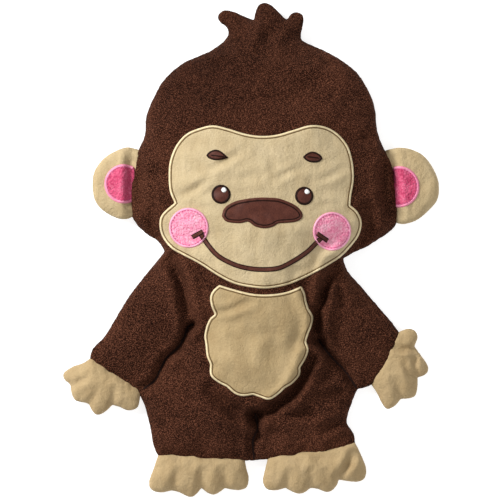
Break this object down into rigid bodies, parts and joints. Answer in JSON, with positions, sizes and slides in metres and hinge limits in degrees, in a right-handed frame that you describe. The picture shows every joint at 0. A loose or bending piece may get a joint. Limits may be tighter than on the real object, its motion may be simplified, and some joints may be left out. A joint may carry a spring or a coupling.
{
  "type": "stuffed monkey",
  "caption": "Flat floppy plush monkey lying on its back, with patch face and belly, stitched arms and legs, loose hands, feet and ears that fold at their seams.",
  "frame": {"origin": "under the middle of the outline, on the surface that the toy lies on", "axes": "+Y towards the hair tuft, +Z out of the face, +X towards the monkey's own left hand"},
  "size_m": [0.319, 0.42, 0.0438],
  "materials": {
    "fleece_brown": "matte",
    "velour_tan": "matte",
    "plush_pink": "matte",
    "plush_hot_pink": "matte",
    "satin_brown": "satin",
    "thread_cream": "satin",
    "thread_dark": "satin",
    "thread_pink": "satin",
    "thread_light_pink": "satin",
    "thread_white": "satin",
    "polyester_fill": "matte"
  },
  "bodies": {
    "torso": {"torso_front": "fleece_brown", "torso_back": "fleece_brown", "torso_stuffing": "polyester_fill", "belly_patch": "velour_tan", "belly_border": "thread_cream", "chin_patch": "velour_tan", "chin_border": "thread_cream", "right_arm_stitching": "thread_dark", "left_arm_stitching": "thread_dark"},
    "head": {"head_front": "fleece_brown", "head_back": "fleece_brown", "head_stuffing": "polyester_fill", "face_patch": "velour_tan", "face_border": "thread_cream", "nose_patch": "satin_brown", "nose_border": "thread_dark", "right_brow": "satin_brown", "left_brow": "satin_brown", "right_eye": "satin_brown", "left_eye": "satin_brown", "eye_glints": "thread_white", "right_cheek": "plush_pink", "left_cheek": "plush_pink", "right_cheek_border": "thread_pink", "left_cheek_border": "thread_pink", "smile_stitching": "satin_brown"},
    "legs": {"right_leg_front": "fleece_brown", "right_leg_back": "fleece_brown", "right_leg_stuffing": "polyester_fill", "left_leg_front": "fleece_brown", "left_leg_back": "fleece_brown", "left_leg_stuffing": "polyester_fill", "leg_stitching": "thread_dark"},
    "right_arm": {"right_arm_front": "fleece_brown", "right_arm_back": "fleece_brown", "right_arm_stuffing": "polyester_fill"},
    "right_hand": {"right_hand_front": "velour_tan", "right_hand_back": "velour_tan", "right_hand_wadding": "polyester_fill"},
    "right_foot": {"right_foot_front": "velour_tan", "right_foot_back": "velour_tan", "right_foot_wadding": "polyester_fill"},
    "right_ear": {"right_ear_front": "velour_tan", "right_ear_back": "velour_tan", "right_ear_lining": "plush_hot_pink", "right_ear_lining_border": "thread_light_pink"},
    "left_arm": {"left_arm_front": "fleece_brown", "left_arm_back": "fleece_brown", "left_arm_stuffing": "polyester_fill"},
    "left_hand": {"left_hand_front": "velour_tan", "left_hand_back": "velour_tan", "left_hand_wadding": "polyester_fill"},
    "left_foot": {"left_foot_front": "velour_tan", "left_foot_back": "velour_tan", "left_foot_wadding": "polyester_fill"},
    "left_ear": {"left_ear_front": "velour_tan", "left_ear_back": "velour_tan", "left_ear_lining": "plush_hot_pink", "left_ear_lining_border": "thread_light_pink"}
  },
  "joints": [
    {"name": "neck", "type": "hinge", "parent": "torso", "child": "head", "pos_m": [-0.0005, -0.019, 0.009], "axis": [1, 0, 0], "range_deg": [0, 45]},
    {"name": "hips", "type": "hinge", "parent": "torso", "child": "legs", "pos_m": [-0.0005, -0.141, 0.009], "axis": [-1, 0, 0], "range_deg": [0, 65]},
    {"name": "right_shoulder", "type": "hinge", "parent": "torso", "child": "right_arm", "pos_m": [-0.0915, -0.071, 0.009], "axis": [0.0767, 0.9971, 0], "range_deg": [0, 75]},
    {"name": "left_shoulder", "type": "hinge", "parent": "torso", "child": "left_arm", "pos_m": [0.0865, -0.069, 0.009], "axis": [0.0797, -0.9968, 0], "range_deg": [0, 75]},
    {"name": "right_wrist", "type": "hinge", "parent": "right_arm", "child": "right_hand", "pos_m": [-0.117, -0.10975, 0.009], "axis": [-0.837, 0.5472, 0], "range_deg": [0, 70]},
    {"name": "left_wrist", "type": "hinge", "parent": "left_arm", "child": "left_hand", "pos_m": [0.1155, -0.0945, 0.009], "axis": [-0.4728, -0.8812, 0], "range_deg": [0, 70]},
    {"name": "right_ankle", "type": "hinge", "parent": "legs", "child": "right_foot", "pos_m": [-0.042, -0.1795, 0.009], "axis": [-0.9992, 0.0411, 0], "range_deg": [0, 75]},
    {"name": "left_ankle", "type": "hinge", "parent": "legs", "child": "left_foot", "pos_m": [0.052, -0.1745, 0.009], "axis": [-0.9888, -0.149, 0], "range_deg": [0, 75]},
    {"name": "right_ear_root", "type": "hinge", "parent": "head", "child": "right_ear", "pos_m": [-0.104, 0.056, 0.009], "axis": [0.0167, 0.9999, 0], "range_deg": [0, 90]},
    {"name": "left_ear_root", "type": "hinge", "parent": "head", "child": "left_ear", "pos_m": [0.12425, 0.054, 0.009], "axis": [0.0884, -0.9961, 0], "range_deg": [0, 90]}
  ]
}
